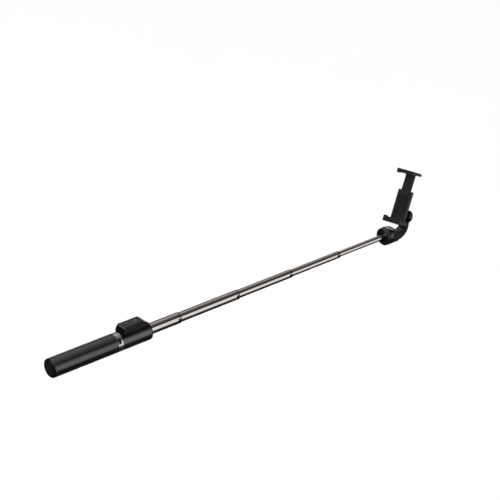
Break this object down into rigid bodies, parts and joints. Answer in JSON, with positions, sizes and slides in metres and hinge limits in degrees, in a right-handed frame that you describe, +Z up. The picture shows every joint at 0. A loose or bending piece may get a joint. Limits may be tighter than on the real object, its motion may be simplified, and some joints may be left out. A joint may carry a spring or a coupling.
{
  "type": "selfie stick",
  "caption": "Telescopic selfie stick: folding tripod-leg handle, collar with lift-out remote, nested tubes, tilting neck and a phone clamp with a sliding jaw.",
  "frame": {"origin": "on the stick's axis, halfway along the hand grip that the closed legs form", "axes": "+X along the stick from the grip to the phone clamp, +Z up through the remote, +Y to the left when looking along +X"},
  "size_m": [0.7482, 0.0504, 0.1217],
  "materials": {
    "handle_plastic": "soft satin black",
    "foot_rubber": "matt",
    "hinge_metal": "polished dark nickel",
    "pin_steel": "satin",
    "collar_plastic": "soft satin black",
    "bush_plastic": "satin",
    "magnet_metal": "plated",
    "tube_metal": "polished gunmetal",
    "rivet_plastic": "satin",
    "head_plastic": "satin black",
    "clamp_plastic": "satin black",
    "pad_rubber": "matt",
    "remote_plastic": "satin black",
    "button_plastic": "semi-gloss",
    "board_laminate": "solder mask",
    "battery_foil": "foil",
    "light_pipe": "frosted"
  },
  "bodies": {
    "collar": {"hinge_ring": "hinge_metal", "leg_pins": "pin_steel", "collar_housing": "collar_plastic", "front_guide": "bush_plastic", "housing_screws": "pin_steel", "dock_magnet": "magnet_metal"},
    "leg_a": {"leg_shell_a": "handle_plastic", "leg_frame_a": "handle_plastic", "leg_foot_a": "foot_rubber"},
    "leg_b": {"leg_shell_b": "handle_plastic", "leg_frame_b": "handle_plastic", "leg_foot_b": "foot_rubber"},
    "leg_c": {"leg_shell_c": "handle_plastic", "leg_frame_c": "handle_plastic", "leg_foot_c": "foot_rubber"},
    "tube_1": {"tube_1": "tube_metal", "rear_bush_1": "bush_plastic", "front_bush_1": "bush_plastic", "bush_rivet_1": "rivet_plastic"},
    "tube_2": {"tube_2": "tube_metal", "rear_bush_2": "bush_plastic", "front_bush_2": "bush_plastic", "bush_rivet_2": "rivet_plastic"},
    "tube_3": {"tube_3": "tube_metal", "rear_bush_3": "bush_plastic", "front_bush_3": "bush_plastic", "bush_rivet_3": "rivet_plastic"},
    "tube_4": {"tube_4": "tube_metal", "rear_bush_4": "bush_plastic", "front_bush_4": "bush_plastic", "bush_rivet_4": "rivet_plastic"},
    "tube_5": {"tube_5": "tube_metal", "rear_bush_5": "bush_plastic", "head_cap": "head_plastic", "head_fork": "head_plastic", "tube_plug": "tube_metal", "head_screw": "pin_steel", "tilt_screw": "pin_steel", "hinge_covers": "head_plastic"},
    "neck": {"neck_arm": "head_plastic", "friction_washers": "bush_plastic", "pivot_cover": "head_plastic"},
    "clamp": {"pivot_rivet": "pin_steel", "clamp_housing": "clamp_plastic", "clamp_cover": "clamp_plastic", "clamp_screws": "pin_steel", "back_pad": "pad_rubber", "lower_jaw": "clamp_plastic", "lower_pad": "pad_rubber", "clamp_springs": "pin_steel"},
    "upper_jaw": {"upper_jaw": "clamp_plastic", "upper_pad": "pad_rubber"},
    "remote": {"remote_base": "remote_plastic", "remote_cover": "remote_plastic", "remote_board": "board_laminate", "remote_battery": "battery_foil", "remote_magnet": "magnet_metal", "status_light": "light_pipe"},
    "shutter_button": {"shutter_button": "button_plastic"},
    "mode_button": {"mode_button": "button_plastic"}
  },
  "joints": [
    {"name": "leg_a_fold", "type": "hinge", "parent": "collar", "child": "leg_a", "pos_m": [0.0602, 0.01178, 0.0068], "axis": [0, 0.5, -0.866], "range_deg": [0, 62]},
    {"name": "leg_b_fold", "type": "hinge", "parent": "collar", "child": "leg_b", "pos_m": [0.0602, -0.01178, 0.0068], "axis": [0, 0.5, 0.866], "range_deg": [0, 62]},
    {"name": "leg_c_fold", "type": "hinge", "parent": "collar", "child": "leg_c", "pos_m": [0.0602, 0, -0.0136], "axis": [0, -1, 0], "range_deg": [0, 62]},
    {"name": "tube_1_slide", "type": "slide", "parent": "collar", "child": "tube_1", "axis": [1, 0, 0], "range_m": [-0.055, 0]},
    {"name": "tube_2_slide", "type": "slide", "parent": "tube_1", "child": "tube_2", "axis": [1, 0, 0], "range_m": [-0.1147, 0]},
    {"name": "tube_3_slide", "type": "slide", "parent": "tube_2", "child": "tube_3", "axis": [1, 0, 0], "range_m": [-0.1088, 0]},
    {"name": "tube_4_slide", "type": "slide", "parent": "tube_3", "child": "tube_4", "axis": [1, 0, 0], "range_m": [-0.1029, 0]},
    {"name": "tube_5_slide", "type": "slide", "parent": "tube_4", "child": "tube_5", "axis": [1, 0, 0], "range_m": [-0.098, 0]},
    {"name": "neck_tilt", "type": "hinge", "parent": "tube_5", "child": "neck", "pos_m": [0.6353, 0, 0], "axis": [0, -1, 0], "range_deg": [-58, 14]},
    {"name": "clamp_turn", "type": "hinge", "parent": "neck", "child": "clamp", "pos_m": [0.65367, 0, 0.02872], "axis": [0.8796, 0, -0.4756], "range_deg": [-12, 26]},
    {"name": "jaw_slide", "type": "slide", "parent": "clamp", "child": "upper_jaw", "axis": [0.4714, 0.1323, 0.8719], "range_m": [-0.014, 0.0059]},
    {"name": "remote_lift", "type": "slide", "parent": "collar", "child": "remote", "axis": [0, 0, 1], "range_m": [0, 0.025]},
    {"name": "shutter_press", "type": "slide", "parent": "remote", "child": "shutter_button", "axis": [0, 0, -1], "range_m": [0, 0.0004], "stiffness_N_per_m": 300},
    {"name": "mode_press", "type": "slide", "parent": "remote", "child": "mode_button", "axis": [0, 0, -1], "range_m": [0, 0.0004], "stiffness_N_per_m": 300}
  ]
}
